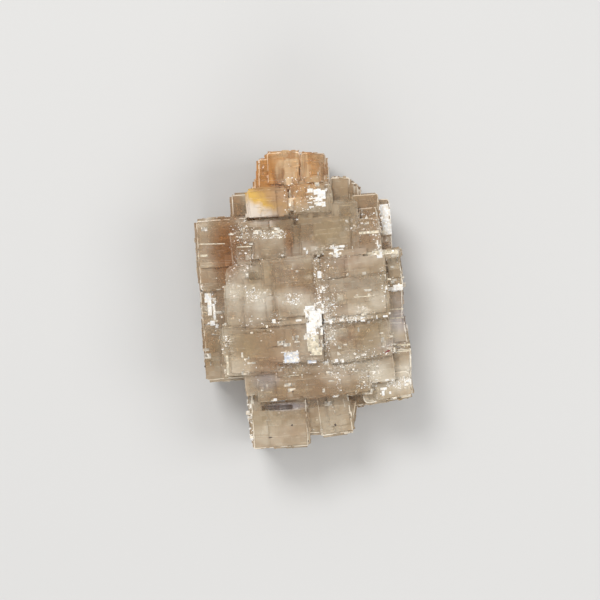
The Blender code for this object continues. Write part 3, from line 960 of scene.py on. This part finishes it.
# Painted reflection and glints: the near-white colours of the first two stand in for light thrown back by
# cleavage cracks.
frosted_reflection = bright_material("frosted_painted_reflection", (0.84, 0.83, 0.81, 1), 0.12, 0.12)
sparkling = bright_material("sparkle_painted_glint", (0.96, 0.95, 0.93, 1), 0.12, 0.06, 0.6)
milk = bright_material("milky_salt", (0.70, 0.65, 0.56, 1), 0.4, 0.2)
grow_beds("frosted_beds", FROSTED_REFLECTION_BEDS, frosted_reflection, (0.2, 0.2, 0.08), (1.5, 1.2, 0.14), 6e6, 0.12, 0.02, 0.03)
grow_beds("sparkle", SPARKLE_GLINT_BEDS, sparkling, (0.06, 0.05, 0.05), (0.4, 0.3, 0.11), 28e6, 0.14, 0.04, 0.18)
grow_beds("milky_beds", MILKY, milk, (0.25, 0.2, 0.05), (2.0, 1.3, 0.1), 2.4e6, 0.2, 0.0, 0.03)

# ---------------------------------------------------------------------------
# Bright facets, painted reflections and highlights: thin plates where single fresh cleavage faces shine whole,
# white on the crown, down the right and left sides and at the heart of the front, blue-grey mirror reflections
# under it, and cream highlights on ledges seen edge on.

# Facets: what each is, its middle and sides in mm, and its turn in degrees.
Facet = namedtuple("Facet", "name x y wide tall turn")
WHITE_REFLECTION_FACETS = rows(
    Facet,
    ("crown_patch", 2.9, 24.5, 1.7, 1.2, 9), ("crown_patch_right", 4.2, 23.9, 1.1, 2.0, 2),
    ("crown_patch_foot", 3.3, 22.8, 1.6, 1.2, -5), ("crown_patch_chip", 4.3, 21.7, 0.9, 1.1, 7),
    ("right_tall", 18.5, 18.6, 2.8, 7.0, 4), ("right_strip", 20.3, 2.9, 4.3, 1.3, 4),
    ("left_plate", -21.7, -0.9, 0.9, 5.0, 3), ("left_plate_side", -20.6, -2.6, 0.55, 3.6, 5),
    ("left_low", -21.0, -5.2, 1.1, 1.1, 6),
    ("heart_top", 1.3, -2.5, 2.2, 2.6, 3), ("heart", 2.5, -4.0, 2.8, 3.4, 2),
    ("heart_left", 1.5, -6.2, 2.0, 2.4, 4), ("heart_side", 3.6, -6.9, 1.2, 1.8, 3),
)
BLUE_REFLECTION_FACETS = rows(
    Facet,
    ("mirror", -2.9, -12.8, 3.2, 2.4, 4), ("small_mirror", 1.7, -13.5, 2.0, 1.3, 4),
    ("slot_glint", -6.2, -22.9, 3.4, 0.3, 3),
)
CREAM_HIGHLIGHT_FACETS = rows(
    Facet,
    ("heart_low", 2.0, -9.6, 2.6, 3.6, 3), ("heart_foot", 2.8, -11.4, 2.4, 1.8, 2),
    ("gold_foot", -8.0, 18.35, 8.6, 0.35, 5), ("right_band", 16.8, 10.8, 8.6, 0.9, 3),
    ("panel_line", 14.6, 15.4, 4.6, 0.6, 4), ("left_line", -21.2, 12.9, 6.2, 0.22, 1),
    ("left_dash", -23.2, 10.2, 2.2, 0.5, 1), ("corner_edge", -15.0, -16.8, 5.8, 0.5, 4),
    ("corner_side", -17.3, -14.6, 0.5, 4.4, 4), ("right_line_1", 20.7, -2.0, 3.8, 0.25, 3),
    ("right_line_2", 20.7, -4.0, 3.8, 0.25, 3), ("right_line_3", 21.9, -10.2, 4.8, 0.4, 3),
    ("right_line_4", 21.9, -11.6, 4.6, 0.3, 3), ("upper_line", -13.6, 12.1, 3.2, 0.2, 2),
    ("slab_line", 13.2, 0.9, 5.0, 0.22, 4), ("crown_crack", -3.2, 22.3, 0.22, 5.4, 2),
    ("body_line", -3.0, -17.0, 3.6, 0.2, 4),
)
FACET_THICK = 0.3 * MM
FACET_RISE = 0.025 * MM  # how far a facet stands out of the salt
SAME_FACE = 0.25 * MM  # hits within this of the middle one are on the facet's own face
LEVEL = 0.9  # a face whose normal points up less than this is taken as level


def down_onto(tree, x, y):
    """Where a plumb line over a place in mm meets the crystal, and the normal there."""
    return tree.ray_cast(Vector((x * MM, y * MM, BED_HEIGHT)), (0, 0, -1))[:2]


def face_under(tree, facet, turn):
    """The height of the crystal's face under a facet, and its normal."""
    hits = []
    for share in (-0.4, -0.2, 0.0, 0.2, 0.4):
        off = turn @ Vector((facet.wide * share, facet.tall * share, 0))
        hits.append(down_onto(tree, off.x + facet.x, off.y + facet.y))
    hits.sort(key=lambda hit: hit[0].z)
    middle, up = hits[len(hits) // 2]
    height = max(hit[0].z for hit in hits if hit[0].z - middle.z < SAME_FACE)
    return height, up if up.z >= LEVEL else Vector((0, 0, 1))


def facet_plates(name, facets, material):
    """One mesh of thin plates let into the front of the crystal, each along the face under it."""
    tree = BVHTree.FromObject(crystal, bpy.context.evaluated_depsgraph_get())
    bm = bmesh.new()
    for facet in facets:
        turn = Matrix.Rotation(math.radians(facet.turn), 3, "Z")
        height, up = face_under(tree, facet, turn)
        across = turn @ Vector((1, 0, 0))
        across = (across - up * across.dot(up)).normalized()
        axes = Matrix((across, up.cross(across), up)).transposed().to_4x4()
        middle = Vector((facet.x * MM, facet.y * MM, height))
        size = Vector((facet.wide * MM, facet.tall * MM, FACET_THICK))
        add_box(bm, size, Matrix.Translation(middle) @ axes, FACET_RISE - FACET_THICK / 2)
    made = shape_object(bm, name)
    made.data.materials.append(material)
    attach(made, "root")


# Painted reflections and highlights: these white, blue-grey and cream colours stand in for the light that the
# faces throw back.
white = bright_material("white_painted_reflection", (0.90, 0.89, 0.87, 1), 0.12, 0.12, 0.65)
blue = bright_material("blue_painted_reflection", (0.62, 0.66, 0.74, 1), 0.15, 0.08)
cream = bright_material("cream_painted_highlight", (0.76, 0.68, 0.52, 1), 0.25, 0.12)
facet_plates("white_facets", WHITE_REFLECTION_FACETS, white)
facet_plates("blue_facets", BLUE_REFLECTION_FACETS, blue)
facet_plates("cream_facets", CREAM_HIGHLIGHT_FACETS, cream)

# ---------------------------------------------------------------------------
# Specks. Grains of clay and one of red iron ore, caught in the salt at its front and pressed flat.

Speck = namedtuple("Speck", "x y wide tall turn")
DARK_SPECKS = rows(
    Speck,
    (-2.6, -20.6, 0.5, 0.35, 10), (-2.8, -28.4, 0.5, 0.4, 30), (-7.7, -31.2, 0.9, 0.25, 5),
    (7.1, -28.4, 0.45, 0.6, 20), (0.9, -32.1, 0.4, 0.3, 0), (-22.8, -15.2, 0.6, 0.5, 15),
)
RED_SPECKS = rows(Speck, (18.9, -11.4, 1.0, 0.4, 20), (18.4, -11.7, 0.5, 0.3, -10))
SPECK_THICK = 0.2 * MM
SPECK_RISE = 0.1 * MM  # how far a grain stands out of the salt


def grit_material(name, colour):
    material, tree, shader = new_material(name)
    grit = clouds(tree, put(tree, "ShaderNodeTexCoord").outputs["Object"], 4000)
    dark = [0.5 * value for value in colour[:3]] + [1]
    set_inputs(
        tree, shader, Base_Color=blend(tree, grit, colour, dark), Normal=bump(tree, grit, 0.03 * MM),
        Roughness=fade(tree, grit, 0.3, 0.7, 0.5, 0.9),
    )
    return material


def speck_grains(name, specks, colour):
    """Flattened round grains, pressed into the face under them."""
    tree = BVHTree.FromObject(crystal, bpy.context.evaluated_depsgraph_get())
    bm = bmesh.new()
    for speck in specks:
        place = down_onto(tree, speck.x, speck.y)[0] + Vector((0, 0, SPECK_RISE - SPECK_THICK / 2))
        grain = bmesh.ops.create_icosphere(bm, subdivisions=2, radius=0.5)["verts"]
        bmesh.ops.scale(bm, vec=(speck.wide * MM, speck.tall * MM, SPECK_THICK), verts=grain)
        bmesh.ops.rotate(bm, matrix=Matrix.Rotation(math.radians(speck.turn), 3, "Z"), verts=grain)
        bmesh.ops.translate(bm, vec=place, verts=grain)
    made = shape_object(bm, name)
    made.data.materials.append(grit_material(name, colour))
    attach(made, "root")


speck_grains("dark_specks", DARK_SPECKS, (0.09, 0.06, 0.05, 1))
speck_grains("red_specks", RED_SPECKS, (0.22, 0.012, 0.012, 1))

# ---------------------------------------------------------------------------
# The stage: a pale floor, soft light from large lamps, and a camera that looks straight down.

FLOOR_HALF_SIDE = 3
FLOOR_DROP = 0.02 * MM  # below the specimen, so that the two never share a plane
PAPER_WHITE = (0.56, 0.555, 0.545, 1)
VIEW_MIDDLE = (-0.98 * MM, 0.11 * MM)
VIEW_HEIGHT = 401 * MM
LAMP_TARGET = Vector((0, 0, 10 * MM))

floor_bm = bmesh.new()
bmesh.ops.create_grid(floor_bm, x_segments=1, y_segments=1, size=FLOOR_HALF_SIDE)
bmesh.ops.translate(floor_bm, vec=(0, 0, -FLOOR_DROP), verts=floor_bm.verts)
floor = shape_object(floor_bm, "floor")
paper, paper_tree, paper_shader = new_material("pale_paper")
set_inputs(paper_tree, paper_shader, Base_Color=PAPER_WHITE, Roughness=0.9)
floor.data.materials.append(paper)

world = bpy.data.worlds.new("studio")
bpy.context.scene.world = world
world.use_nodes = True
set_inputs(world.node_tree, world.node_tree.nodes["Background"], Color=(1, 1, 1, 1), Strength=0.6)
bpy.context.scene.view_settings.view_transform = "Standard"


def lamp(name, place, side, power):
    """A square lamp that points at the specimen."""
    data = bpy.data.lights.new(name, "AREA")
    data.shape = "RECTANGLE"
    data.size, data.size_y = side, side
    data.energy = power
    obj = add_object(name, data)
    obj.location = place
    obj.rotation_euler = (LAMP_TARGET - Vector(place)).to_track_quat("-Z", "Y").to_euler()


lamp("key", (-0.2, 0.3, 0.6), 0.25, 2.7)
lamp("glint", (-0.15, 0.1, 0.7), 0.05, 0.12)
lamp("fill", (0.45, 0.0, 0.5), 0.3, 1.3)
lamp("low", (0.0, -0.5, 0.35), 0.3, 0.85)

camera_data = bpy.data.cameras.new("camera")
camera_data.lens = 100
camera_data.sensor_width = 36
camera = add_object("camera", camera_data)
camera.location = (*VIEW_MIDDLE, VIEW_HEIGHT)
bpy.context.scene.camera = camera
